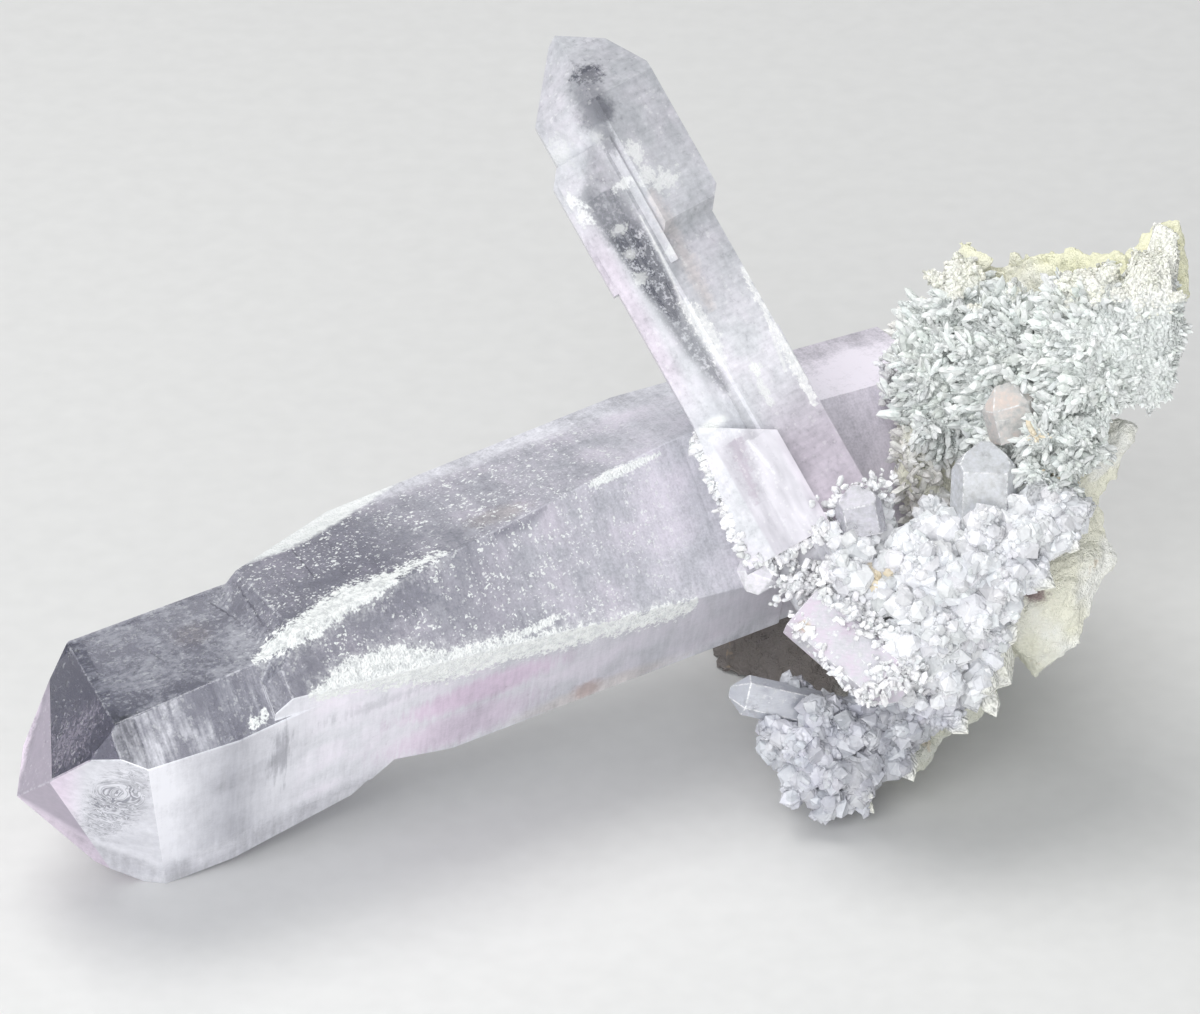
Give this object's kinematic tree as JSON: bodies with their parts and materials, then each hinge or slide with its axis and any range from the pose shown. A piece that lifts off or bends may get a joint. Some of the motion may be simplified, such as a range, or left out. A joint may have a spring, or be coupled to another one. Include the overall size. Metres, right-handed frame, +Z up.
{
  "type": "mineral specimen",
  "caption": "Pale amethyst specimen: a thick quartz prism crossed by a slender one, growing from a druse-covered slab of cream rock, for display.",
  "frame": {"origin": "middle of the specimen's box, on the surface that it rests on", "axes": "+X to the right in the picture, from the main crystal's point towards the rock; +Y away from the viewer; +Z up"},
  "size_m": [0.0982, 0.0598, 0.0607],
  "materials": {
    "amethyst": "translucent pale lilac quartz with fine cross striations",
    "pink_amethyst": "translucent pinkish quartz, satin",
    "clear_quartz": "nearly clear quartz, smooth",
    "russet_quartz": "quartz stained a brownish red",
    "druse": "sparkling crust of small quartz points, white to grey",
    "rock": "cream-coloured, finely granular broken rock"
  },
  "bodies": {
    "root": {"main_crystal": "amethyst", "second_crystal": "amethyst", "blade_crystal": "pink_amethyst", "pendant_crystal": "pink_amethyst", "finger_crystal": "clear_quartz", "upright_crystal": "clear_quartz", "leaning_crystal": "clear_quartz", "russet_crystal": "russet_quartz", "druse_crust": "druse", "matrix_rock": "rock"}
  },
  "joints": []
}
